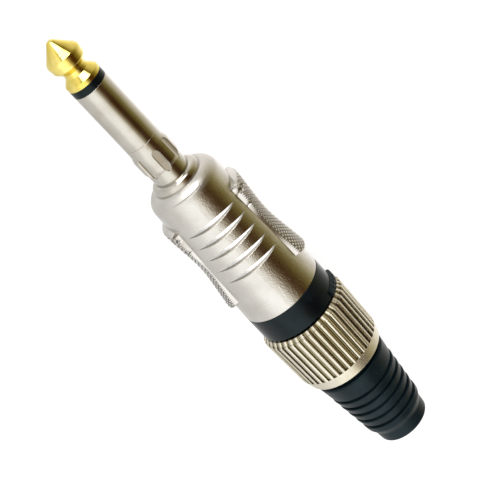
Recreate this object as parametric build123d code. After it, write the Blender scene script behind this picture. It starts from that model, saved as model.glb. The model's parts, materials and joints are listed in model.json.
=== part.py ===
from build123d import *
import os
from math import cos, pi, radians, sin, sqrt

# A mono jack plug, in millimetres.
# The plug's axis is X and the tip points along +X. The origin is on the axis at
# the mating face, where the plug stops against the socket, and +Z is the side of
# the shell that has the crescent grooves.

# Clearances
press_gap = 0.02         # pieces pressed or swaged together
slip_gap = 0.08          # pieces that slide into each other
thread_gap = 0.08        # nut's thread over the shell's
turning_gap = 0.09       # nut round the boot's neck
body_gap = 0.3           # between pieces that move apart

# Front contact
insertion = 30.5         # mating face to the end of the tip
contact_d = 6.35
tip_length = 8.47        # end of the tip to the black collar
tip_blunt_r = 0.56       # corner of the rounded end
tip_head_length = 3.15   # end of the tip to the front of its head
tip_head_swell = 0.04    # outline's corner above the rounded head
tip_head_round = 0.9
tip_head_rear = 4.72     # end of the tip to the rear of its head
tip_head_drop = 0.145    # head's rear below the sleeve's surface
tip_waist_depth = 1.045  # below the sleeve's surface
tip_waist_start = 5.79
tip_waist_end = 6.53
tip_neck_round = 0.5
tip_rear_rim = 0.74
insulator_width = 1.4
rod_d = 2.5
rod_head_d = 3.9
rod_head_length = 0.7
tube_wall = 0.8
spigot_length = 1.2

# Sleeve and the collar swaged on its root
sleeve_root_step = 0.375  # from the sleeve's surface down to its root
collar_front = 8.04      # from the mating face
collar_swell = 0.325     # above the sleeve's surface
collar_rear_rise = 0.075
collar_edge = 0.12
pocket_count = 7
pocket_length = 4.8
pocket_width = 1.3
pocket_front = 6.45      # from the mating face
pocket_depth = 0.42
pocket_bevel = 0.13      # sloping rim of a pocket
pocket_turn = 10.0       # degrees round from the grooved side

# Nose bush, pressed into the shell
bush_wall = 0.63
bush_lip = 0.6           # head beyond the stem, in radius
bush_head_length = 1.34
bush_head_round = 1.15

# Shell
shell_front_d = 13.3
shell_flare = 0.9        # front of the barrel to its rear, in radius
shell_length = 29.02     # mating face to the black ring
shell_wall = 1.35        # at the front of the barrel
nose_shoulder = 1.8      # flat of the nose to the barrel, in radius
dome_length = 2.45
front_wall = 2.6
shroud_seat = 1.54       # shell's rear edge to the step that holds the shroud
stub_step = 1.05         # shell's rim down to the threaded stub
stub_wall = 0.9
stub_length = 14.2
stub_chamfer = 0.5
grip_front = 6.5         # from the mating face
grip_rear_margin = 3.68  # to the shell's rear edge
grip_half_angle = 29.5
grip_end_bow = 1.45      # middle of a grip's end beyond its corners
grip_front_height = 1.03  # above the barrel
grip_front_flat = 1.48
grip_rear_height = 0.89
grip_dish_height = 0.02  # outline's corner above the barrel, under the rounded dish
grip_dish_back = 0.61    # that corner behind the grip's middle
grip_dish_round = 24.0
grip_front_ramp = 0.7
grip_rear_ramp = 0.25
groove_count = 5
groove_first = 9.12      # mating face to the first groove's rear wall
groove_rear_margin = 9.18  # last groove to the shell's rear edge
groove_depth = 0.5
groove_half_angle = 49.0
groove_run = 0.95        # length of the sloping floor
groove_wall_run = 0.3
shoulder_groove_ahead = 1.04  # ahead of the barrel's front
shoulder_groove_depth = 0.55
shoulder_groove_half_angle = 52.0

# Contacts and insulators inside the shell
flange_inset = 0.4       # sleeve's flange inside the shell's bore
flange_width = 1.0
lug_sheet = 0.5
ground_lug_inset = 0.2   # inside the sleeve's flange
ground_tail_width = 3.0
ground_tail_length = 11.5
ground_clamp_width = 3.2
ground_clamp_d = 5.4
tip_lug_share = 0.28     # of the way from the rod's rivet head to the ground lug's rim
washer_share = 0.45
washer_width = 0.8
tip_tail_width = 2.4
tip_tail_length = 8.5
solder_hole_d = 1.2
shroud_wall = 0.4

# Cable chuck
chuck_overhang = 2.16    # behind the shell's stub
chuck_wall = 2.02
chuck_cone_length = 5.5
chuck_cone_drop = 1.12
chuck_slits = 4
chuck_slit_width = 0.9
chuck_slit_length = 11.5
chuck_teeth = 4
chuck_tooth_height = 0.35
chuck_tooth_pitch = 1.7

# Marking ring
ring_width = 5.03
ring_edge = 0.2
ring_seam = 0.07         # gap that shows as a dark line at the shell
tab_height = 0.55
tab_width = 1.05
tab_from = 54.0          # degrees from the grooved side, towards -Y
tab_to = 106.0
tab_teeth = 6
tab_notch = 0.3

# Rear nut
nut_length = 12.83
nut_wall = 1.7           # over the thread, at the front
nut_taper = 0.28         # front to rear of the flutes, in radius
nut_front_chamfer = 0.95
nut_front_drop = 0.63    # height of that chamfer
nut_cone_length = 2.23
nut_cone_drop = 0.55
nut_edge = 0.2
flute_count = 40
flute_depth = 0.36
flute_share = 0.46       # groove's share of the pitch, at the ridge tops
flute_floor_share = 0.3
nut_rear_wall = 1.9
thread_length = 9.0

# Cable boot
boot_gap = 1.1           # nut's rear face to the boot's collar
boot_flange_inset = 0.05  # inside the stub's diameter
boot_flange_width = 1.4
boot_lip = 0.45          # flange beyond the neck, in radius
boot_collar_inset = 0.5  # inside the nut's rear edge
boot_collar_round = 0.35
boot_body_length = 12.97
boot_taper = 1.33        # collar to shoulder, in radius
boot_step_length = 1.2
boot_step = 0.6
boot_cuff_length = 3.8
boot_cuff_taper = 0.225
boot_end_round = 0.7
boot_bore_step = 0.1     # wider than the chuck's bore, in radius
boot_mouth_chamfer = 0.4
rib_grooves = 5
rib_start = 3.73         # collar's front to the first groove
rib_end = 1.42           # last groove to the shoulder
rib_groove_width = 0.62
rib_groove_depth = 0.55
rib_crown = 0.14

# Sizes that follow from those above
contact_r = contact_d / 2
sleeve_root_d = contact_d - 2 * sleeve_root_step
collar_rear_d = contact_d + 2 * collar_rear_rise
bush_stem_d = collar_rear_d + 2 * (press_gap + bush_wall)
bush_head_d = bush_stem_d + 2 * bush_lip
tube_d = rod_d + 2 * (press_gap + tube_wall)
shell_rear_d = shell_front_d + 2 * shell_flare
cavity_d = shell_front_d - 2 * shell_wall
flange_d = cavity_d - 2 * flange_inset
ground_lug_d = flange_d - 2 * ground_lug_inset
tip_lug_d = rod_head_d + tip_lug_share * (ground_lug_d - rod_head_d)
washer_d = rod_head_d + washer_share * (ground_lug_d - rod_head_d)
shroud_d = cavity_d - 2 * slip_gap
shroud_bore = shroud_d - 2 * shroud_wall
stub_d = shell_rear_d - 2 * stub_step
stub_bore = stub_d - 2 * stub_wall
chuck_d = stub_bore - 2 * slip_gap
chuck_bore = chuck_d - 2 * chuck_wall
chuck_cone_d = chuck_d - 2 * chuck_cone_drop
nut_thread_d = stub_d + 2 * thread_gap
nut_front_d = nut_thread_d + 2 * nut_wall
nut_rear_d = nut_front_d - 2 * nut_taper
nut_cone_d = nut_rear_d - 2 * nut_cone_drop
boot_flange_d = stub_d - 2 * boot_flange_inset
boot_neck_d = boot_flange_d - 2 * boot_lip
boot_collar_d = nut_cone_d - 2 * boot_collar_inset
boot_shoulder_d = boot_collar_d - 2 * boot_taper
boot_bore = chuck_bore + 2 * boot_bore_step

# Places along the axis, from the tip to the boot
insulator_front = insertion - tip_length
insulator_rear = insulator_front - insulator_width
nose_x = -bush_head_length
barrel_front = nose_x - dome_length
wall_rear = nose_x - front_wall
flange_rear = wall_rear - flange_width
ground_lug_rear = flange_rear - lug_sheet
washer_rear = ground_lug_rear - washer_width
tip_lug_rear = washer_rear - lug_sheet
grip_length = shell_length - grip_front - grip_rear_margin
groove_pitch = (shell_length - groove_first - groove_rear_margin) / (groove_count - 1)
shroud_rear = -shell_length + shroud_seat
stub_end = -shell_length - stub_length
chuck_rear = stub_end - chuck_overhang
ring_front = -shell_length - ring_seam
ring_rear = ring_front - ring_width
nut_front = ring_rear - body_gap
nut_rear = nut_front - nut_length
nut_shelf = nut_rear + nut_rear_wall
collar_at = nut_rear - boot_gap
boot_shoulder = collar_at - boot_body_length
boot_end = boot_shoulder - boot_cuff_length
rib_pitch = (boot_body_length - rib_start - rib_end) / (rib_grooves - 1)


def outline(*corners):
    """A closed face in the XZ plane. A corner is (x, z), or (x, z, rounding)."""
    points = [Vector(c[0], 0, c[1]) for c in corners]
    face = make_face(Polyline(*points, close=True)).face()
    for point, corner in zip(points, corners):
        if len(corner) == 3:
            nearest = face.vertices().sort_by_distance(point)[0]
            face = face.fillet_2d(corner[2], [nearest])
    return face


def turned(*corners):
    """A piece turned about the plug's axis from its half outline."""
    return revolve(outline(*corners), Axis.X)


def ring(x_front, x_rear, outer_d, inner_d):
    """A plain turned ring between two places on the axis."""
    return turned(
        (x_front, inner_d / 2), (x_front, outer_d / 2),
        (x_rear, outer_d / 2), (x_rear, inner_d / 2),
    )


def around(angle):
    """Turns a piece about the plug's axis; +Z turns towards -Y."""
    return Rotation(angle, 0, 0)


def shell_r(x):
    """Radius of the shell's tapered barrel."""
    share = (barrel_front - x) / (barrel_front + shell_length)
    return (shell_front_d + (shell_rear_d - shell_front_d) * share) / 2


def tip_contact():
    """The turned tip and the rod behind it, riveted over the tip lug."""
    rod_r = rod_d / 2
    head = insertion - tip_head_length
    waist_r = contact_r - tip_waist_depth
    rivet_end = tip_lug_rear - press_gap - rod_head_length
    return turned(
        (insertion, 0),
        (insertion, tip_blunt_r, 0.4),
        (head, contact_r + tip_head_swell, tip_head_round),
        (insertion - tip_head_rear, contact_r - tip_head_drop, 0.35),
        (insertion - tip_waist_start, waist_r, tip_neck_round),
        (insertion - tip_waist_end, waist_r, tip_neck_round),
        (insulator_front + tip_rear_rim, contact_r, 0.35),
        (insulator_front, contact_r),
        (insulator_front, rod_r),
        (tip_lug_rear - press_gap, rod_r),
        (tip_lug_rear - press_gap, rod_head_d / 2),
        (rivet_end, rod_head_d / 2, 0.4),
        (rivet_end, 0),
    )


def tip_insulator():
    """The black collar between the contacts, with a spigot that centres it."""
    bore_r = rod_d / 2 + press_gap
    return turned(
        (insulator_front, bore_r), (insulator_front, contact_r, 0.06),
        (insulator_rear, contact_r, 0.06), (insulator_rear, tube_d / 2),
        (insulator_rear - spigot_length, tube_d / 2),
        (insulator_rear - spigot_length, bore_r),
    )


def rod_tube():
    """The insulating tube that keeps the rod clear of the sleeve."""
    front = insulator_rear - spigot_length
    return ring(front, ground_lug_rear, tube_d, rod_d + 2 * press_gap)


def sleeve():
    """The turned sleeve: its root passes through the shell to a flange inside."""
    bore_r = tube_d / 2 + press_gap
    root_r = sleeve_root_d / 2
    return turned(
        (insulator_rear, bore_r), (insulator_rear, contact_r, 0.08),
        (collar_front, contact_r, 0.08), (collar_front, root_r),
        (wall_rear, root_r), (wall_rear, flange_d / 2),
        (flange_rear, flange_d / 2), (flange_rear, bore_r),
    )


def neck_collar():
    """The collar swaged on the sleeve's root, with a ring of pressed pockets."""
    bore_r = sleeve_root_d / 2 + press_gap
    rear_r = collar_rear_d / 2
    swell_r = contact_r + collar_swell
    pocket_rear = pocket_front - pocket_length
    collar = turned(
        (collar_front, bore_r), (collar_front, contact_r, collar_edge),
        (pocket_front + 0.1, contact_r + 0.02, 1.5), (pocket_front - 0.9, swell_r, 1.5),
        (pocket_rear + 1.25, swell_r, 1.0), (pocket_rear + 0.5, rear_r, 1.0),
        (wall_rear, rear_r), (wall_rear, bore_r),
    )
    middle = pocket_front - pocket_length / 2
    floor = swell_r - pocket_depth
    slot = SlotOverall(pocket_length - 2 * pocket_bevel, pocket_width - 2 * pocket_bevel)
    rim = SlotOverall(pocket_length + 2 * pocket_bevel, pocket_width + 2 * pocket_bevel)
    well = extrude(Pos(middle, 0, floor) * slot, 2 * pocket_depth)
    bevel = loft([
        (Pos(middle, 0, swell_r - 2 * pocket_bevel) * slot).face(),
        (Pos(middle, 0, swell_r) * rim).face(),
    ])
    pocket = well + bevel
    pockets = [
        around(pocket_turn + 360 * k / pocket_count) * pocket
        for k in range(pocket_count)
    ]
    return collar - pockets


def nose_ring():
    """The bush pressed into the shell; its face is the plug's mating face."""
    bore_r = collar_rear_d / 2 + press_gap
    stem_r = bush_stem_d / 2
    return turned(
        (0, bore_r), (0, bush_head_d / 2, bush_head_round),
        (nose_x, bush_head_d / 2), (nose_x, stem_r),
        (wall_rear, stem_r), (wall_rear, bore_r),
    )


def grip(side):
    """One of the two raised grips, dished along its length; side is 1 or -1."""
    front = -grip_front
    rear = front - grip_length
    dish = front - grip_length / 2 - grip_dish_back
    front_r = shell_r(front) + grip_front_height
    rear_r = shell_r(rear) + grip_rear_height
    root = shell_r(front) - shell_wall / 2
    side_view = outline(
        (front, root), (front, shell_r(front)),
        (front - grip_front_ramp, front_r, 0.4),
        (front - grip_front_ramp - grip_front_flat, front_r, 3.0),
        (dish, shell_r(dish) + grip_dish_height, grip_dish_round),
        (rear + grip_rear_ramp, rear_r, 0.2), (rear, rear_r - grip_rear_ramp),
        (rear, root),
    )
    pad = around(90 * side - grip_half_angle) * revolve(side_view, Axis.X, 2 * grip_half_angle)
    half_width = rear_r * sin(radians(grip_half_angle)) + 0.5
    x_front, x_rear = front - grip_end_bow, rear + grip_end_bow
    plan = make_face([
        Line((x_rear, half_width), (x_front, half_width)),
        ThreePointArc((x_front, half_width), (front, 0), (x_front, -half_width)),
        Line((x_front, -half_width), (x_rear, -half_width)),
        ThreePointArc((x_rear, -half_width), (rear, 0), (x_rear, half_width)),
    ]).face()
    return pad & (around(90 * side) * extrude(plan, 2 * rear_r))


def crescent_cutter(x_wall, depth, half_angle, run, wall_run):
    """A turning tool off the plug's axis, so that its groove runs out at both ends."""
    r = shell_r(x_wall)
    reach = cos(radians(half_angle))
    offset = (2 * r * depth - depth ** 2) / (2 * (r * (1 - reach) - depth))
    floor = r - depth + offset
    above = floor + 3 * depth
    tool = outline(
        (x_wall + wall_run, floor),
        (x_wall + wall_run + run, floor + depth),
        (x_wall + wall_run + run, above),
        (x_wall - 2 * wall_run, above),
    )
    return Pos(0, 0, -offset) * revolve(tool, Axis.X)


def shell():
    """The die-cast shell: domed nose, tapered barrel, two grips and a rear stub."""
    hole_r = bush_stem_d / 2 + press_gap
    nose = (nose_x, 0, shell_front_d / 2 - nose_shoulder)
    brow = (barrel_front, 0, shell_front_d / 2)
    rim = (-shell_length, 0, shell_rear_d / 2)
    outside = make_face([
        Line((nose_x, 0, 0), nose), TangentArc(brow, nose, tangent=(1, 0, 0)),
        Line(brow, rim), Line(rim, (-shell_length, 0, 0)),
        Line((-shell_length, 0, 0), (nose_x, 0, 0)),
    ]).face()
    body = revolve(outside, Axis.X)
    body = body + grip(1) + grip(-1)
    for k in range(groove_count):
        x_wall = -groove_first - k * groove_pitch
        body -= crescent_cutter(
            x_wall, groove_depth, groove_half_angle, groove_run, groove_wall_run
        )
    body -= crescent_cutter(
        barrel_front + shoulder_groove_ahead, shoulder_groove_depth,
        shoulder_groove_half_angle,
        groove_run, groove_wall_run,
    )
    stub = turned(
        (-shell_length, 0), (-shell_length, stub_d / 2),
        (stub_end, stub_d / 2, stub_chamfer), (stub_end, 0),
    )
    bore = turned(
        (wall_rear, 0), (wall_rear, cavity_d / 2), (shroud_rear, cavity_d / 2),
        (shroud_rear, stub_bore / 2), (stub_end - 1, stub_bore / 2), (stub_end - 1, 0),
    )
    hole = ring(nose_x + 1, wall_rear - 1, 2 * hole_r, 0)
    return body + stub - bore - hole


def ground_lug():
    """The sheet lug behind the sleeve's flange, with a tail and a screen clamp."""
    disc = ring(flange_rear, ground_lug_rear, ground_lug_d, tube_d + 2 * press_gap)
    low = -sqrt((ground_lug_d / 2) ** 2 - (ground_tail_width / 2) ** 2)
    tail_rear = ground_lug_rear - ground_tail_length
    tail = Pos((flange_rear + tail_rear) / 2, 0, low + lug_sheet / 2) * Box(
        flange_rear - tail_rear, ground_tail_width, lug_sheet
    )
    clamp_r = ground_clamp_d / 2
    trough = ring(tail_rear, tail_rear - ground_clamp_width, ground_clamp_d,
                  ground_clamp_d - 2 * lug_sheet)
    lower_half = Pos(tail_rear, 0, -clamp_r / 2) * Box(
        3 * ground_clamp_width, 2 * clamp_r, clamp_r
    )
    clamp = Pos(0, 0, low + clamp_r) * (trough & lower_half)
    joining = Pos(tail_rear, 0, low + lug_sheet / 2) * Box(
        ground_clamp_width, ground_tail_width / 2, lug_sheet
    )
    return disc + tail + clamp + joining


def insulating_washer():
    """The washer that keeps the two lugs apart."""
    return ring(ground_lug_rear, washer_rear, washer_d, rod_d + 2 * press_gap)


def tip_lug():
    """The tip's solder lug: a disc under the rod's rivet head and a pierced tail."""
    disc = ring(washer_rear, tip_lug_rear, tip_lug_d, rod_d + 2 * press_gap)
    top = sqrt((tip_lug_d / 2) ** 2 - (tip_tail_width / 2) ** 2)
    tail_rear = tip_lug_rear - tip_tail_length
    tail = Pos((washer_rear + tail_rear) / 2, 0, top - lug_sheet / 2) * Box(
        washer_rear - tail_rear, tip_tail_width, lug_sheet
    )
    hole = Pos(tail_rear + tip_tail_width / 2, 0, top) * Cylinder(
        solder_hole_d / 2, 4 * lug_sheet
    )
    return disc + tail - hole


def insulating_shroud():
    """The thin plastic tube that lines the shell round the solder joints."""
    return ring(ground_lug_rear - slip_gap, shroud_rear, shroud_d, shroud_bore)


def cable_chuck():
    """The slit plastic collet that grips the cable when the nut is tightened."""
    outer_r = chuck_d / 2
    bore_r = chuck_bore / 2
    front = shroud_rear - slip_gap
    cone_start = chuck_rear + chuck_cone_length
    chuck = turned(
        (front, bore_r + 0.4), (front, outer_r), (cone_start, outer_r),
        (chuck_rear, chuck_cone_d / 2), (chuck_rear, bore_r),
        (front - 0.4, bore_r),
    )
    for k in range(chuck_teeth):
        x = chuck_rear + (k + 0.5) * chuck_tooth_pitch
        chuck += turned(
            (x - 0.45, bore_r + 0.1), (x - 0.45, bore_r),
            (x, bore_r - chuck_tooth_height), (x + 0.45, bore_r), (x + 0.45, bore_r + 0.1),
        )
    slit = Pos(chuck_rear + chuck_slit_length / 2 - 0.5, 0, stub_bore / 2) * Box(
        chuck_slit_length + 1, chuck_slit_width, stub_bore
    )
    return chuck - [around(45 + 360 * k / chuck_slits) * slit for k in range(chuck_slits)]


def marking_ring():
    """The black ring that shows between shell and nut, with its toothed tab."""
    bore_r = stub_d / 2 + slip_gap
    outer_r = shell_rear_d / 2
    body = turned(
        (ring_front, bore_r), (ring_front, outer_r, ring_edge),
        (ring_rear, outer_r, ring_edge), (ring_rear, bore_r),
    )
    tab_face = outline(
        (ring_rear + tab_width, outer_r - 0.3), (ring_rear + tab_width, outer_r),
        (ring_rear + 0.75 * tab_width, outer_r + tab_height),
        (ring_rear, outer_r + tab_height), (ring_rear, outer_r - 0.3),
    )
    tab = around(tab_from) * revolve(tab_face, Axis.X, tab_to - tab_from)
    notch = Pos(ring_rear, 0, outer_r + tab_height) * Box(
        3 * tab_width, tab_notch, tab_notch
    )
    step = (tab_to - tab_from) / tab_teeth
    notches = [around(tab_from + step * k) * notch for k in range(1, tab_teeth)]
    return body + (tab - notches)


def flute(front_r, rear_r, x_start, x_end):
    """One flute's cutter, laid along the nut's slope."""
    pitch = 2 * pi * rear_r / flute_count
    half_top = pitch * flute_share / 2
    half_floor = pitch * flute_floor_share / 2
    above = 2 * flute_depth
    half_above = half_floor + (half_top - half_floor) * (flute_depth + above) / flute_depth

    def section(x, r):
        floor = r - flute_depth
        return Polyline(
            (x, -half_floor, floor), (x, half_floor, floor),
            (x, half_above, r + above), (x, -half_above, r + above), close=True,
        )

    slope = (front_r - rear_r) / (x_start - x_end)
    ahead = x_start + nut_front_chamfer + 1
    front = make_face(section(ahead, front_r + slope * (ahead - x_start)))
    rear = make_face(section(x_end, rear_r))
    return loft([front.face(), rear.face()])


def rear_nut():
    """The fluted nut that draws the boot's flange onto the chuck."""
    thread_r = nut_thread_d / 2
    relief_r = boot_flange_d / 2 + body_gap
    hole_r = boot_neck_d / 2 + turning_gap
    flute_front = nut_front - nut_front_chamfer
    flute_rear = nut_rear + nut_cone_length
    front_r = nut_front_d / 2
    rear_r = nut_rear_d / 2
    nut = turned(
        (nut_front, thread_r), (nut_front, front_r - nut_front_drop), (flute_front, front_r),
        (flute_rear, rear_r), (nut_rear, nut_cone_d / 2, nut_edge),
        (nut_rear, hole_r, 2 * nut_edge), (nut_shelf, hole_r), (nut_shelf, relief_r),
        (nut_front - thread_length, relief_r), (nut_front - thread_length, thread_r),
    )
    cutter = flute(front_r, rear_r, flute_front, flute_rear)
    # a groove, not a ridge, is turned down, so that the nut stands on two ridges
    return nut - [
        around(180 + 360 * k / flute_count) * cutter for k in range(flute_count)
    ]


def boot_r(x):
    """Radius of the boot's tapered outside, between its collar and its shoulder."""
    share = (collar_at - x) / boot_body_length
    return boot_collar_d / 2 - boot_taper * share


def cable_boot():
    """The rubber boot: flange held in the nut, collar, ribs and a smooth cuff."""
    flange_front = nut_shelf + turning_gap + boot_flange_width
    flange_back = nut_shelf + turning_gap
    cone_slope = chuck_cone_drop / chuck_cone_length
    funnel_rear = chuck_rear - body_gap
    funnel_r = chuck_cone_d / 2 + body_gap
    mouth_r = funnel_r + cone_slope * (flange_front - funnel_rear)
    bore_r = boot_bore / 2
    cuff_r = boot_shoulder_d / 2 - boot_step
    corners = [
        (flange_front, mouth_r), (flange_front, boot_flange_d / 2),
        (flange_back, boot_flange_d / 2), (flange_back, boot_neck_d / 2),
        (collar_at, boot_neck_d / 2), (collar_at, boot_r(collar_at), boot_collar_round),
    ]
    for k in range(rib_grooves):
        x = collar_at - rib_start - k * rib_pitch
        front = x + rib_groove_width / 2
        rear = x - rib_groove_width / 2
        corners += [
            (front, boot_r(front) - rib_crown, rib_crown),
            (front - 0.1, boot_r(x) - rib_groove_depth),
            (rear + 0.1, boot_r(x) - rib_groove_depth),
            (rear, boot_r(rear), rib_crown),
        ]
    corners += [
        (boot_shoulder, boot_shoulder_d / 2, 1.2),
        (boot_shoulder - boot_step_length, cuff_r, 1.2),
        (boot_end, cuff_r - boot_cuff_taper, boot_end_round),
        (boot_end, bore_r + boot_mouth_chamfer),
        (boot_end + boot_mouth_chamfer, bore_r),
        (funnel_rear, bore_r), (funnel_rear, funnel_r),
    ]
    return turned(*corners)


def main():
    pieces = {
        "tip_contact": tip_contact(),
        "tip_insulator": tip_insulator(),
        "rod_tube": rod_tube(),
        "sleeve": sleeve(),
        "neck_collar": neck_collar(),
        "nose_ring": nose_ring(),
        "shell": shell(),
        "ground_lug": ground_lug(),
        "insulating_washer": insulating_washer(),
        "tip_lug": tip_lug(),
        "insulating_shroud": insulating_shroud(),
        "cable_chuck": cable_chuck(),
        "marking_ring": marking_ring(),
        "rear_nut": rear_nut(),
        "cable_boot": cable_boot(),
    }
    os.makedirs("parts", exist_ok=True)
    for name, piece in pieces.items():
        export_step(piece, f"parts/{name}.step")


main()
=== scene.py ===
# %% [markdown]
# # A mono jack plug
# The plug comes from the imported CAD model, which already has the right shape and
# size for every turned, cast and moulded piece. What is left for Blender is what a
# drawing doesn't show: the metals, the plastics and the rubber, the knurl on the
# finger grips, and the cut thread that shows when the rear nut is unscrewed.
# Everything is in metres. The plug's axis is X, the tip points along +X, and the
# side of the shell with the crescent grooves faces up, along +Z.

# %% Load the CAD model
import json
from math import cos, pi, radians, sin

import bpy
from mathutils import Matrix, Vector


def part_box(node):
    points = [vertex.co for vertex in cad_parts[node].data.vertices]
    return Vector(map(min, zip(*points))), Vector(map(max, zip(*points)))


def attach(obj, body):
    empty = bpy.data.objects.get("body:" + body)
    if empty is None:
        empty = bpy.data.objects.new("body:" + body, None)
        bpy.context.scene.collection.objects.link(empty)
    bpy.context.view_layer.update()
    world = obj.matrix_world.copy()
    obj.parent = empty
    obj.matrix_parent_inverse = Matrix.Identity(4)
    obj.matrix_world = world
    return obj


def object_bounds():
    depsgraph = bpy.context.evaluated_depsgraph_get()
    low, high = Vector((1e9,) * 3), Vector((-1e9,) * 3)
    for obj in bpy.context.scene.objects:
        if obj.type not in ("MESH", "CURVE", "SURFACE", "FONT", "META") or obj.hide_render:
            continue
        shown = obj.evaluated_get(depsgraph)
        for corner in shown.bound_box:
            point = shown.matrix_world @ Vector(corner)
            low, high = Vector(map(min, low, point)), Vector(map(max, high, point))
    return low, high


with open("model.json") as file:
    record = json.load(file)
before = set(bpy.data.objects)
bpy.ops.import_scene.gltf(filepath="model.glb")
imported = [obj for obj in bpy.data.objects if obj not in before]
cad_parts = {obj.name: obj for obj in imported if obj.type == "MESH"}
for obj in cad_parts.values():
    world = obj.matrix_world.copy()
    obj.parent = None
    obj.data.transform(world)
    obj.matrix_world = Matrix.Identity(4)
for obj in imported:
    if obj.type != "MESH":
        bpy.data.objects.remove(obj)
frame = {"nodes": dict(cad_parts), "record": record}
cad_box = [list(corner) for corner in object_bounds()]
nodes = frame["nodes"]
mm = 0.001
bpy.ops.object.select_all(action="DESELECT")
print("CAD nodes:", len(nodes), "box:", [round(c / mm, 2) for c in cad_box[0] + cad_box[1]])

# %% [markdown]
# ## Camera
# The photograph looks down on the plug from above its tip. The shell's circles show
# as ellipses, and their flattening gives the angle: the axis leans 27 degrees out of
# the picture, tip nearest. The tip looks a little larger than the boot, and that
# ratio gives the distance. The axis runs down to the right at 46.9 degrees, so the
# camera is rolled by that much. Building the camera from these few angles, and not
# by moving it until it looks right, keeps each of them easy to correct.

# %% Camera from the photograph's angles
lean = radians(27.0)                    # tip towards the camera
turn = radians(8.0)                     # grooved side turned away from the lower edge
slope = radians(46.87)                  # axis below the horizontal, in the picture
reach = 364.7 * mm                      # camera to the axis
focal_px = 2200.0                       # focal length in the photograph's pixels
picture_px = 500.0                      # width of the photograph
sensor_width = 36.0                     # in the camera's own millimetres
middle = Vector((-20.04 * mm, 0, 0))    # point of the axis that the camera faces
off_axis = 0.663 * mm                   # middle of the picture, beside the axis

towards = Vector((sin(lean), -cos(lean) * sin(turn), cos(lean) * cos(turn)))
along = -(Vector((1, 0, 0)) - sin(lean) * towards).normalized()
across = towards.cross(along)
right = cos(slope) * along + sin(slope) * across
up = -sin(slope) * along + cos(slope) * across
camera_data = bpy.data.cameras.new("camera")
camera_data.sensor_width = sensor_width
camera_data.lens = focal_px * sensor_width / picture_px
camera_data.clip_start = 0.01
camera_data.clip_end = 20.0
camera = bpy.data.objects.new("camera", camera_data)
bpy.context.scene.collection.objects.link(camera)
place = middle + off_axis * across + reach * towards
camera.matrix_world = Matrix((
    (right.x, up.x, towards.x, place.x),
    (right.y, up.y, towards.y, place.y),
    (right.z, up.z, towards.z, place.z),
    (0, 0, 0, 1),
))
bpy.context.scene.camera = camera
print("camera lens:", round(camera_data.lens, 1), "height:", round(place.z, 3))

# %% [markdown]
# ## Helpers for node trees
# The table, the room and every finish are painted by small node trees. A node takes
# four lines to add, set and link, so a few helpers do it in one. Each takes sockets
# or plain values and gives back the socket that the next node needs, so a tree reads
# like a formula.


# %% Numbers, places and colours
def maths(tree, operation, *values):
    """A Math node on sockets or numbers."""
    node = tree.nodes.new("ShaderNodeMath")
    node.operation = operation
    for k, value in enumerate(values):
        if isinstance(value, (int, float)):
            node.inputs[k].default_value = value
        else:
            tree.links.new(value, node.inputs[k])
    return node.outputs["Value"]


def vectors(tree, operation, *values):
    """A Vector Math node on sockets or three numbers."""
    node = tree.nodes.new("ShaderNodeVectorMath")
    node.operation = operation
    for k, value in enumerate(values):
        if isinstance(value, tuple):
            node.inputs[k].default_value = value
        else:
            tree.links.new(value, node.inputs[k])
    return node.outputs["Value" if operation == "LENGTH" else "Vector"]


def spread(tree, value, low, high, start=0.3, end=0.7):
    """Maps start...end to low...high; the start and end given suit a noise."""
    node = tree.nodes.new("ShaderNodeMapRange")
    node.inputs["From Min"].default_value = start
    node.inputs["From Max"].default_value = end
    node.inputs["To Min"].default_value = low
    node.inputs["To Max"].default_value = high
    tree.links.new(value, node.inputs["Value"])
    return node.outputs["Result"]


def mixed(tree, share, first, second):
    """Two colours mixed by a share; each is a socket or three numbers."""
    node = tree.nodes.new("ShaderNodeMix")
    node.data_type = "RGBA"
    tree.links.new(share, node.inputs[0])
    for k, colour in ((6, first), (7, second)):
        if isinstance(colour, tuple):
            node.inputs[k].default_value = (*colour, 1)
        else:
            tree.links.new(colour, node.inputs[k])
    return node.outputs[2]


print("helpers: maths, vectors, spread, mixed")


# %% A finish to start from
def finish(name, colour, metal, rough):
    """A new material with a Principled shader, and the tools to add nodes to it."""
    material = bpy.data.materials.new(name)
    material.use_nodes = True
    tree = material.node_tree
    shader = tree.nodes["Principled BSDF"]
    shader.inputs["Base Color"].default_value = (*colour, 1)
    shader.inputs["Metallic"].default_value = metal
    shader.inputs["Roughness"].default_value = rough
    return material, tree, shader


def own_place(tree):
    """Object coordinates: metres from the plug's origin."""
    return tree.nodes.new("ShaderNodeTexCoord").outputs["Object"]


print("helpers: finish, own_place")

# %% [markdown]
# ## Floor
# The plug lies on a pale table that glows from below, as a light table does, so its
# shadow stays faint. The glow fades further out, in an oval round the plug. The metals
# don't mirror the table, only the room, which goes on below it: so the edges of a round
# piece stay darker than the white round them. The standard view keeps white paper white
# and the dark strip dark; a film-like view would grey both.

# %% Pale table
table_width = 3.0
glow_near, glow_far = 0.84, 0.3
fade_start, fade_end = 0.08, 0.2        # metres from the plug's middle
oval = (0.62, 1, 1)                     # a distance along the plug counts less
oval_shift = (0.011, 0, 0)              # puts the oval's middle at the plug's

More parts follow.
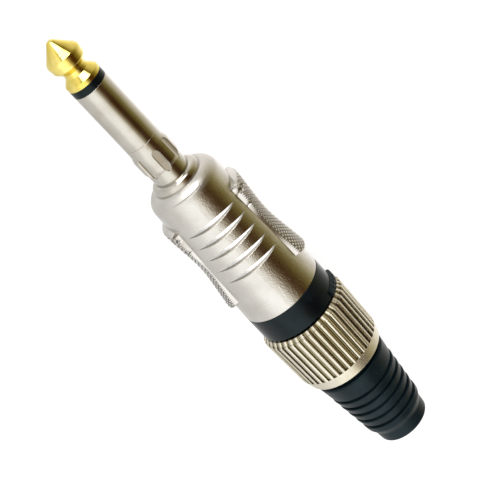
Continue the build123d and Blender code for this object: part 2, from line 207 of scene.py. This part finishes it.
bpy.context.scene.view_settings.view_transform = "Standard"
floor_z = cad_box[0][2]
bpy.ops.mesh.primitive_grid_add(x_subdivisions=8, y_subdivisions=8, size=table_width,
                                location=(0, 0, floor_z))
floor = bpy.context.active_object
floor.name = "floor"
floor.visible_glossy = False
paper, tree, shader = finish("pale_table", (0.24, 0.24, 0.24), 0.0, 1.0)
shader.inputs["Specular IOR Level"].default_value = 0.0
shader.inputs["Emission Color"].default_value = (1, 1, 1, 1)
away = vectors(tree, "LENGTH", vectors(tree, "MULTIPLY_ADD", own_place(tree), oval, oval_shift))
tree.links.new(spread(tree, away, glow_near, glow_far, fade_start, fade_end),
               shader.inputs["Emission Strength"])
floor.data.materials.append(paper)
print("table at", round(floor_z / mm, 2), "mm")

# %% [markdown]
# ## Studio round the plug
# Metal has no look of its own, only what it reflects, so the surroundings matter more
# than the lamps. The room is white on one side. On the other a dark strip starts just
# past the top and fades downwards to a brown haze, and gives each round piece its dark
# band. Cards and lamps could make them, but a card gives a hard edge. Here both are
# painted on the world, by a direction's angle round the plug's axis. A mirror turns by
# twice the angle that its surface does, so half a turn of room fits on a quarter of
# each round piece.
# The two ends of the room differ: a bright panel ahead of the tip whitens its cone,
# and a pale wall behind the boot lights whatever slopes backwards.

# %% Directions round the plug
world = bpy.data.worlds.new("studio")
bpy.context.scene.world = world
world.use_nodes = True
sky = world.node_tree
sky.nodes.clear()
direction = sky.nodes.new("ShaderNodeSeparateXYZ")
sky.links.new(sky.nodes.new("ShaderNodeTexCoord").outputs["Generated"],
              direction.inputs["Vector"])
angle = maths(sky, "ARCTAN2", maths(sky, "MULTIPLY", direction.outputs["Y"], -1),
              direction.outputs["Z"])
round_share = spread(sky, angle, 0, 1, radians(-180), radians(180))


def ramp(stops):
    """The room's colour by the angle round the axis; stops are (degrees, colour)."""
    node = sky.nodes.new("ShaderNodeValToRGB")
    while len(node.color_ramp.elements) < len(stops):
        node.color_ramp.elements.new(0.5)
    for element, (degrees, colour) in zip(node.color_ramp.elements, stops):
        element.position = (degrees + 180) / 360
        element.color = (*colour, 1)
    sky.links.new(round_share, node.inputs["Fac"])
    return node.outputs["Color"]


print("angle round the plug: 0 is straight up, and it grows towards the dark strip")

# %% Walls of the room
# degrees from straight up, towards the side with the dark strip, and the colour there
sides = ramp([
    (-170, (0.95, 0.94, 0.92)),
    (-120, (0.82, 0.81, 0.80)),
    (-88, (0.98, 0.96, 0.95)),
    (-64, (1.04, 1.02, 0.99)),
    (-50, (1.30, 1.29, 1.26)),
    (-40, (1.52, 1.52, 1.50)),
    (-4, (1.54, 1.53, 1.50)),
    (2, (1.42, 1.39, 1.32)),
    (8, (1.10, 1.03, 0.90)),
    (13, (0.70, 0.63, 0.50)),
    (18, (0.46, 0.39, 0.28)),
    (23, (0.34, 0.27, 0.16)),
    (28, (0.22, 0.15, 0.07)),
    (35, (0.085, 0.035, 0.012)),
    (54, (0.075, 0.035, 0.01)),
    (66, (0.17, 0.12, 0.03)),
    (82, (0.27, 0.225, 0.075)),
    (94, (0.46, 0.40, 0.21)),
    (108, (0.72, 0.65, 0.48)),
    (126, (0.92, 0.87, 0.78)),
    (150, (1.30, 1.26, 1.22)),
])
# ahead of the tip: a white panel with dark edges, and a grey wall beside it
ahead = ramp([
    (-110, (1.0, 1.0, 0.98)),
    (-45, (1.2, 1.18, 1.14)),
    (-34, (1.0, 0.98, 0.92)),
    (-29, (0.25, 0.20, 0.14)),
    (-26, (0.25, 0.20, 0.14)),
    (-20, (5.5, 5.5, 5.7)),
    (64, (5.5, 5.5, 5.7)),
    (74, (0.10, 0.06, 0.03)),
    (92, (0.10, 0.06, 0.03)),
    (100, (0.8, 0.78, 0.7)),
])
behind = (1.7, 1.66, 1.58)
behind_share = 0.15
facing_front = spread(sky, direction.outputs["X"], 0, 1, 0.72, 0.86)
facing_back = spread(sky, direction.outputs["X"], 0, 1, -0.74, -0.92)
room = mixed(sky, facing_front, sides, ahead)
room = mixed(sky, maths(sky, "MULTIPLY", facing_back, behind_share), room, behind)
background = sky.nodes.new("ShaderNodeBackground")
sky.links.new(room, background.inputs["Color"])
output = sky.nodes.new("ShaderNodeOutputWorld")
sky.links.new(background.outputs["Background"], output.inputs["Surface"])
print("room painted with", len(sky.nodes), "nodes")

# %% [markdown]
# The overhead light only evens out the table and the plastics. In the metal it would
# show as a second white patch, so mirrors don't see it.

# %% Overhead light
lamp = bpy.data.lights.new("overhead_light", "AREA")
lamp.shape = "SQUARE"
lamp.size = 1.2
lamp.energy = 8.0
overhead = bpy.data.objects.new("overhead_light", lamp)
bpy.context.scene.collection.objects.link(overhead)
overhead.location = (0.0, -0.35, 1.1)
lamp_aim = Vector((-0.02, 0, 0))
overhead.rotation_euler = (lamp_aim - overhead.location).to_track_quat("-Z", "Y").to_euler()
overhead.visible_glossy = False
print("overhead light:", lamp.energy, "W")

# %% [markdown]
# ## Materials
# Each finish is a Principled shader with a little procedural unevenness. The scale of
# a pattern is written as the real size of its grain, because Object coordinates are
# in metres: a grain of 0.2 mm is a noise scale of 1 / 0.0002.


# %% Grain, tint and relief
def grain(tree, size, detail=3.0, stretch=(1, 1, 1)):
    """Noise on Object coordinates, with grains of a real size; stretch squeezes an axis."""
    mapping = tree.nodes.new("ShaderNodeMapping")
    mapping.inputs["Scale"].default_value = stretch
    noise = tree.nodes.new("ShaderNodeTexNoise")
    noise.inputs["Scale"].default_value = 1 / size
    noise.inputs["Detail"].default_value = detail
    tree.links.new(own_place(tree), mapping.inputs["Vector"])
    tree.links.new(mapping.outputs["Vector"], noise.inputs["Vector"])
    return noise.outputs["Fac"]


def tint(tree, value, dark, light):
    """A colour between two, by a noise value."""
    node = tree.nodes.new("ShaderNodeValToRGB")
    for element, position, colour in zip(node.color_ramp.elements, (0.35, 0.65), (dark, light)):
        element.position = position
        element.color = (*colour, 1)
    tree.links.new(value, node.inputs["Fac"])
    return node.outputs["Color"]


def bump(tree, normal, value, height):
    """Raises a surface by a pattern; height is in metres, normal the socket it goes to."""
    node = tree.nodes.new("ShaderNodeBump")
    node.inputs["Distance"].default_value = height
    tree.links.new(value, node.inputs["Height"])
    tree.links.new(node.outputs["Normal"], normal)
    return node


print("helpers: grain, tint, bump")

# %% [markdown]
# ## Polished metals
# The tip is turned brass with a gold plate, and the sleeve, the neck and the small ring
# are turned brass with a bright nickel plate. A lathe leaves faint rings round such a
# piece, so the noise for its relief is stretched round the axis and stays fine along it.


# %% Turned and plated
def polished(name, dark, light, rough):
    """Turned and polished metal: faint rings from the lathe, and a little unevenness."""
    material, tree, shader = finish(name, light, 1.0, rough)
    rings = grain(tree, 0.25 * mm, 4.0, (1, 0.02, 0.02))
    cloud = grain(tree, 3 * mm)
    tree.links.new(tint(tree, cloud, dark, light), shader.inputs["Base Color"])
    tree.links.new(spread(tree, cloud, rough * 0.8, rough * 1.3), shader.inputs["Roughness"])
    bump(tree, shader.inputs["Normal"], rings, 0.004 * mm)
    return material


finishes = {name: polished(name, dark, light, rough) for name, dark, light, rough in (
    ("gold_plate", (0.76, 0.60, 0.13), (0.91, 0.77, 0.25), 0.11),
    ("polished_nickel", (0.49, 0.465, 0.41), (0.55, 0.53, 0.48), 0.17),
    ("tinned_brass", (0.55, 0.53, 0.50), (0.65, 0.64, 0.61), 0.35),
)}
print("polished metals:", len(finishes))

# %% [markdown]
# ## Satin metals
# The shell is zinc, cast in a steel die, tumbled and then plated with satin nickel.
# Its grain is coarse enough to sparkle where the light band meets the dark one, so the
# grain goes into the relief and not only into the colour.


# %% Tumbled and plated
def satin(name, dark, light, rough, size, height):
    """Tumbled and plated metal: fine grains that sparkle where light meets dark."""
    material, tree, shader = finish(name, light, 1.0, rough)
    fine = grain(tree, size, 6.0)
    cloud = grain(tree, 5 * mm)
    colour = tint(tree, cloud, dark, light)
    tree.links.new(colour, shader.inputs["Base Color"])
    tree.links.new(spread(tree, fine, rough * 0.7, rough * 1.4), shader.inputs["Roughness"])
    relief = bump(tree, shader.inputs["Normal"], fine, height)
    return material, tree, shader, colour, relief


def place_of(tree):
    """Object coordinates one by one, and the distance from the plug's axis, in metres."""
    where = own_place(tree)
    split = tree.nodes.new("ShaderNodeSeparateXYZ")
    tree.links.new(where, split.inputs["Vector"])
    radius = vectors(tree, "LENGTH", vectors(tree, "MULTIPLY", where, (0, 1, 1)))
    return split.outputs, radius


def at_least(tree, shader, rough):
    """Raises a roughness to that of another pattern, where that one is higher."""
    socket = shader.inputs["Roughness"]
    smooth = socket.links[0].from_socket
    tree.links.new(maths(tree, "MAXIMUM", smooth, rough), socket)


print("helpers: satin, place_of, at_least")

# %% [markdown]
# The crescents' floors are hollow in the die, so they catch the light from ahead like a spoon.
# Their colour is lightened as a painted highlight, and the short steep wall at the back of
# each one is painted dark, a thin line of painted shade. The shader finds a crescent by how
# far the surface lies below the tapered barrel, and its steep wall by the way that the
# surface faces. It then leans the floor's shading towards the front.

# %% Crescents of the casting
barrel_front, barrel_rear = -3.79 * mm, -29.02 * mm
barrel_front_r, barrel_rear_r = 6.65 * mm, 7.55 * mm
crescents_middle, crescents_reach = -14.5 * mm, 7.0 * mm
shallow, deep = 0.02 * mm, 0.09 * mm    # depth where a crescent starts to show, and is full
steep_from, steep_full = 0.2, 0.5       # how far a wall faces the tip
# painted light: a painted highlight on the crescent floors, painted shade on their steep walls
crescent_highlight_colour, wall_shade_colour = (0.85, 0.84, 0.81), (0.30, 0.28, 0.24)
floor_lean = (1.4, 0, 0)

casting, tree, shader, colour, relief = satin(
    "satin_nickel_casting", (0.55, 0.53, 0.49), (0.62, 0.605, 0.575), 0.17, 0.25 * mm, 0.05 * mm)
finishes["satin_nickel_casting"] = casting
where, radius = place_of(tree)
barrel = spread(tree, where["X"], barrel_front_r, barrel_rear_r, barrel_front, barrel_rear)
in_crescent = maths(
    tree, "MULTIPLY",
    spread(tree, maths(tree, "SUBTRACT", barrel, radius), 0, 1, shallow, deep),
    maths(tree, "COMPARE", where["X"], crescents_middle, crescents_reach))
facing = tree.nodes.new("ShaderNodeSeparateXYZ")
tree.links.new(tree.nodes.new("ShaderNodeNewGeometry").outputs["True Normal"],
               facing.inputs["Vector"])
steep = maths(tree, "MULTIPLY", in_crescent,
              spread(tree, facing.outputs["X"], 0, 1, steep_from, steep_full))
# paints the highlight on the crescent floors and the shade on their steep walls
colour = mixed(tree, steep, mixed(tree, in_crescent, colour, crescent_highlight_colour), wall_shade_colour)
tree.links.new(colour, shader.inputs["Base Color"])
leaning = vectors(tree, "MULTIPLY_ADD", maths(tree, "SUBTRACT", in_crescent, steep),
                  floor_lean, relief.outputs["Normal"])
tree.links.new(vectors(tree, "NORMALIZE", leaning), shader.inputs["Normal"])
print("crescents between", round((crescents_middle - crescents_reach) / mm, 2), "and",
      round((crescents_middle + crescents_reach) / mm, 2), "mm")

# %% [markdown]
# The crescents and the dome at the shell's front shine less than the barrel, so their
# roughness is raised. The stub behind the shoulder carries the thread for the rear nut:
# a helix of one millimetre pitch. It could be a modelled coil, but that would have to
# clear the nut's own thread at every turn, and it shows only when the nut is screwed
# back. So the shader raises it.

# %% Dome and thread of the casting
crescent_rough = 0.3
dome_rough = 0.34
dome_from, dome_full = -4.3 * mm, -2.9 * mm
thread_pitch = 1.0 * mm
thread_height = 1.1 * mm                # the wave below goes to 0.5, so half of this
stub_bore_r = 6.2 * mm                  # the thread is on the outside alone

on_dome = spread(tree, where["X"], 0, dome_rough, dome_from, dome_full)
at_least(tree, shader, maths(tree, "MAXIMUM", maths(tree, "MULTIPLY", in_crescent, crescent_rough),
                             on_dome))
turned = maths(tree, "DIVIDE", maths(tree, "ARCTAN2", where["Y"], where["Z"]), 2 * pi)
helix = maths(tree, "PINGPONG",
              maths(tree, "ADD", maths(tree, "DIVIDE", where["X"], thread_pitch), turned), 0.5)
on_stub = maths(tree, "MULTIPLY",
                maths(tree, "LESS_THAN", where["X"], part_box("marking_ring")[0][0]),
                maths(tree, "GREATER_THAN", radius, stub_bore_r))
bump(tree, relief.inputs["Normal"], maths(tree, "MULTIPLY", helix, on_stub), thread_height)

# %% [markdown]
# The flutes of the nut are painted darker, as painted shade at the bottom of each groove;
# dark stripes round the nut paint the same shade along each flute. The ridges between them
# are worn round by tumbling, which a ripple in the relief gives them. Both stop at the plain
# cone behind the flutes.

# %% Fluted nut
nut_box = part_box("rear_nut")
nut_rear, nut_front = nut_box[0][0], nut_box[1][0]
cone_front = nut_rear + 2.23 * mm
stripes_end = nut_rear + 2.3 * mm
flutes_middle, flutes_reach = nut_front - 5.65 * mm, 5.0 * mm
front_ridge_r, rear_ridge_r = 8.275 * mm, 8.0 * mm
flutes = 40
flute_shallow, flute_deep = 0.05 * mm, 0.2 * mm
dark_to, pale_from = 0.15, 0.22         # from a flute's middle, as a share of the pitch
# colour of the painted shade in the flutes
flute_shade_colour = (0.24, 0.205, 0.105)
ridge_round = 0.12 * mm

fluted, tree, shader, colour, relief = satin(
    "satin_nickel", (0.62, 0.58, 0.46), (0.76, 0.72, 0.61), 0.30, 0.25 * mm, 0.014 * mm)
finishes["satin_nickel"] = fluted
where, radius = place_of(tree)
ridge = spread(tree, where["X"], front_ridge_r, rear_ridge_r, nut_front, cone_front)
depth = maths(tree, "SUBTRACT", ridge, radius)
sunk = maths(tree, "MULTIPLY", spread(tree, depth, 0, 1, flute_shallow, flute_deep),
             maths(tree, "COMPARE", where["X"], flutes_middle, flutes_reach))
turned = maths(tree, "ARCTAN2", where["Y"], where["Z"])
stripe = maths(tree, "PINGPONG", maths(tree, "MULTIPLY", turned, flutes / (2 * pi)), 0.5)
stripe = maths(tree, "MULTIPLY", spread(tree, stripe, 1, 0, dark_to, pale_from),
               maths(tree, "GREATER_THAN", where["X"], stripes_end))
# painted shade: by the depth of a flute, and by the stripes round the nut
flute_shade = maths(tree, "MAXIMUM", sunk, stripe)
tree.links.new(mixed(tree, flute_shade, colour, flute_shade_colour), shader.inputs["Base Color"])
ripple = maths(tree, "MULTIPLY", maths(tree, "COSINE", maths(tree, "MULTIPLY", turned, flutes)),
               maths(tree, "GREATER_THAN", where["X"], cone_front))
bump(tree, relief.inputs["Normal"], ripple, ridge_round).invert = True
print("nut from", round(nut_front / mm, 2), "to", round(nut_rear / mm, 2), "mm")

# %% [markdown]
# ## Plastics and rubber
# The black collar and the marking ring are smooth mouldings, and the boot is soft rubber
# with a fine grain from its mould. Black takes its look from its gloss: a weak, slightly
# blue one keeps the pieces deep and cool beside the warm metal.


# %% Mouldings
def moulded(name, dark, light, rough, size, height, shine=0.5, gleam=(1, 1, 1)):
    """Moulded plastic or rubber: an even colour, a fine grain and slightly uneven gloss."""
    material, tree, shader = finish(name, light, 0.0, rough)
    fine = grain(tree, size, 5.0)
    cloud = grain(tree, 4 * mm)
    tree.links.new(tint(tree, cloud, dark, light), shader.inputs["Base Color"])
    tree.links.new(spread(tree, cloud, rough * 0.85, rough * 1.15), shader.inputs["Roughness"])
    shader.inputs["Specular IOR Level"].default_value = shine
    shader.inputs["Specular Tint"].default_value = (*gleam, 1)
    relief = bump(tree, shader.inputs["Normal"], fine, height)
    finishes[name] = material
    return tree, shader, relief


cool = (0.72, 0.95, 1.0)
moulded("natural_plastic", (0.78, 0.76, 0.70), (0.86, 0.84, 0.79), 0.4, 0.4 * mm, 0.006 * mm)
moulded("chuck_plastic", (0.05, 0.05, 0.055), (0.08, 0.08, 0.085), 0.5, 0.3 * mm, 0.008 * mm)
moulded("black_rubber", (0.003, 0.007, 0.010), (0.006, 0.013, 0.017), 0.36, 0.18 * mm,
        0.022 * mm, 0.15, cool)
tree, shader, relief = moulded("black_plastic", (0.002, 0.003, 0.004), (0.004, 0.007, 0.009),
                               0.2, 0.3 * mm, 0.004 * mm, 0.2, cool)
print("finishes so far:", len(finishes))

# %% [markdown]
# The marking ring's tab stands out past the ring, and its teeth are rough where they
# left the mould. Only there, at a larger distance from the axis, the plastic gets lumps
# and loses its gloss.

# %% Lumps on the tab
ring_r = 7.62 * mm
tab_rough = 0.5
lump, lump_height = 0.5 * mm, 0.6 * mm

where, radius = place_of(tree)
on_tab = maths(tree, "GREATER_THAN", radius, ring_r)
bump(tree, relief.inputs["Normal"], maths(tree, "MULTIPLY", grain(tree, lump, 2.0), on_tab),
     lump_height)
at_least(tree, shader, maths(tree, "MULTIPLY", on_tab, tab_rough))
print("lumps further out than", round(ring_r / mm, 2), "mm")

# %% [markdown]
# ## Knurled grips
# Each finger grip is dished and covered with small pyramids, so that a plug can be
# pulled out with damp fingers. The die has the pyramids cut into it. Here a flat sheet
# gets them by poking every square of a grid that is turned by 45 degrees, is trimmed
# to the grip, and gets sloping sides and a hidden underside.

# %% Flat sheet of pyramids
cells = 40
pitch_along = 0.84 * mm
pitch_round = 1.05 * mm
pyramid = 0.13 * mm                     # height of a pyramid
wrap_r = 7.6 * mm                       # radius at which the sheet's width is measured
half_width = radians(29.7) * wrap_r
knurl_front, knurl_rear = -7.35 * mm, -24.95 * mm
half_length = (knurl_front - knurl_rear) / 2
side_slope = 1.12                       # width at the foot of the sloping sides
layer = 1                               # depth of a hidden layer, before it is wrapped


def flat_sheet(name):
    """A flat sheet of pyramids round the origin, with two layers of sides under it."""
    bpy.ops.mesh.primitive_grid_add(x_subdivisions=cells, y_subdivisions=cells, size=cells)
    piece = bpy.context.active_object
    piece.name = name
    bpy.ops.object.mode_set(mode="EDIT")
    bpy.ops.mesh.select_all(action="SELECT")
    bpy.ops.mesh.poke(offset=1.0)
    bpy.ops.transform.rotate(value=pi / 4, orient_axis="Z", center_override=(0, 0, 0))
    diagonal = 2 ** 0.5
    bpy.ops.transform.resize(value=(pitch_along / diagonal, pitch_round / diagonal, pyramid),
                             center_override=(0, 0, 0))
    for x, y in ((1, 0), (-1, 0), (0, 1), (0, -1)):
        bpy.ops.mesh.select_all(action="SELECT")
        bpy.ops.mesh.bisect(plane_co=(x * half_length, y * half_width, 0), plane_no=(x, y, 0),
                            clear_outer=True)
    bpy.ops.mesh.select_all(action="DESELECT")
    bpy.ops.mesh.select_mode(type="EDGE")
    bpy.ops.mesh.select_non_manifold(extend=False, use_wire=False, use_boundary=True,
                                     use_multi_face=False, use_non_contiguous=False,
                                     use_verts=False)
    bpy.ops.mesh.extrude_edges_move(TRANSFORM_OT_translate={"value": (0, 0, 0)})
    bpy.ops.transform.resize(value=(1, side_slope, 0), center_override=(0, 0, 0))
    bpy.ops.transform.translate(value=(0, 0, -layer))
    bpy.ops.mesh.extrude_edges_move(TRANSFORM_OT_translate={"value": (0, 0, -layer)})
    bpy.ops.mesh.edge_face_add()
    bpy.ops.object.mode_set(mode="OBJECT")
    return piece


print("sheet:", round(2 * half_length / mm, 2), "by", round(2 * half_width / mm, 2), "mm")

# %% [markdown]
# The sheet is wrapped on the dish point by point. A shrinkwrap would pull the pyramids
# flat on the grip. Here each point keeps its height, and only the ground under it is
# found on the casting, by a ray towards the axis. The two layers under the sheet end
# just under the barrel, where they don't show. Each point also remembers its height on
# its pyramid, for the shader.

# %% Wrap on the dish
centre = (knurl_front + knurl_rear) / 2
front_bow, rear_bow = 0.35 * mm, -0.85 * mm     # the corners stay back from the bowed ends
face_angle = radians(29)                # a ray further round would miss the grip's face
lift = 0.02 * mm                        # pyramids above the casting
foot, sole = 0.03 * mm, 0.4 * mm        # the hidden layers, below the barrel
barrel_taper = 0.0357                   # radius gained for each length towards the rear
cast = nodes["shell"]


def casting_r(x, angle):
    """Radius of the casting's surface at a place along and round the axis."""
    out = Vector((0, -sin(angle), cos(angle)))
    hit, point, normal, face = cast.ray_cast(Vector((x, 0, 0)) + out * 0.03, -out)
    return (point.y ** 2 + point.z ** 2) ** 0.5 if hit else 0.0


def barrel_r(x):
    """Radius of the shell's tapered barrel beside the grips."""
    return barrel_front_r + barrel_taper * (barrel_front - x)


def wrap(piece, side):
    """Wraps a flat sheet on the grip at side 1 (towards -Y) or -1."""
    height = piece.data.attributes.new("height", "FLOAT", "POINT")
    for vertex in piece.data.vertices:
        x, w, z = vertex.co
        bow = min(abs(w) / half_width, 1) ** 2
        x += centre - bow * (front_bow if x > 0 else rear_bow) * abs(x) / half_length
        angle = side * pi / 2 + w / wrap_r
        inner = max(-face_angle, min(face_angle, w / wrap_r))
        if z > -0.5 * layer:
            r = casting_r(x, side * pi / 2 + inner) + lift + z
            height.data[vertex.index].value = z / pyramid
        else:
            r = barrel_r(x) - (foot if z > -1.5 * layer else sole)
            height.data[vertex.index].value = 1.0
        vertex.co = (x, -r * sin(angle), r * cos(angle))
    bpy.ops.object.mode_set(mode="EDIT")
    bpy.ops.mesh.select_all(action="SELECT")
    bpy.ops.mesh.normals_make_consistent(inside=False)
    bpy.ops.object.mode_set(mode="OBJECT")
    bpy.ops.object.select_all(action="DESELECT")


print("casting at the middle of the dish:", round(casting_r(centre, pi / 2) / mm, 2), "mm")

# %% [markdown]
# The sheets are the same casting, a little duller from handling. The pits between the
# pyramids are painted darker, as painted shade, so the colour follows the height that
# each point remembers.

# %% Both grips
# colour of the painted shade in the pits between the pyramids
pit_shade_colour = (0.09, 0.075, 0.06)
pit_from, pit_full = 0.5, 0.12          # share of a pyramid's height

knurled, tree, shader, colour, relief = satin(
    "knurled_casting", (0.62, 0.60, 0.57), (0.70, 0.685, 0.66), 0.32, 0.20 * mm, 0.010 * mm)
level = tree.nodes.new("ShaderNodeAttribute")
level.attribute_name = "height"
pit = spread(tree, level.outputs["Fac"], 1, 0, pit_full, pit_from)
# paints the shade in the pits, darker towards a pyramid's foot
tree.links.new(mixed(tree, pit, colour, pit_shade_colour), shader.inputs["Base Color"])
for name, side in (("knurl_left", 1), ("knurl_right", -1)):
    piece = flat_sheet(name)
    wrap(piece, side)
    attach(piece, "shell")
    piece.data.materials.append(knurled)
    print(name, "triangles:", sum(len(f.vertices) - 2 for f in piece.data.polygons))

# %% [markdown]
# ## Painting the plug
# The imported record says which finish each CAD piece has. Its mesh is already right, so
# it only gets the material.

# %% Every CAD node gets the finish of its slot
for part in frame["record"]["subparts"]:
    mesh = nodes[part["node"]].data
    mesh.materials.clear()
    mesh.materials.append(finishes[part["material_slot"]])
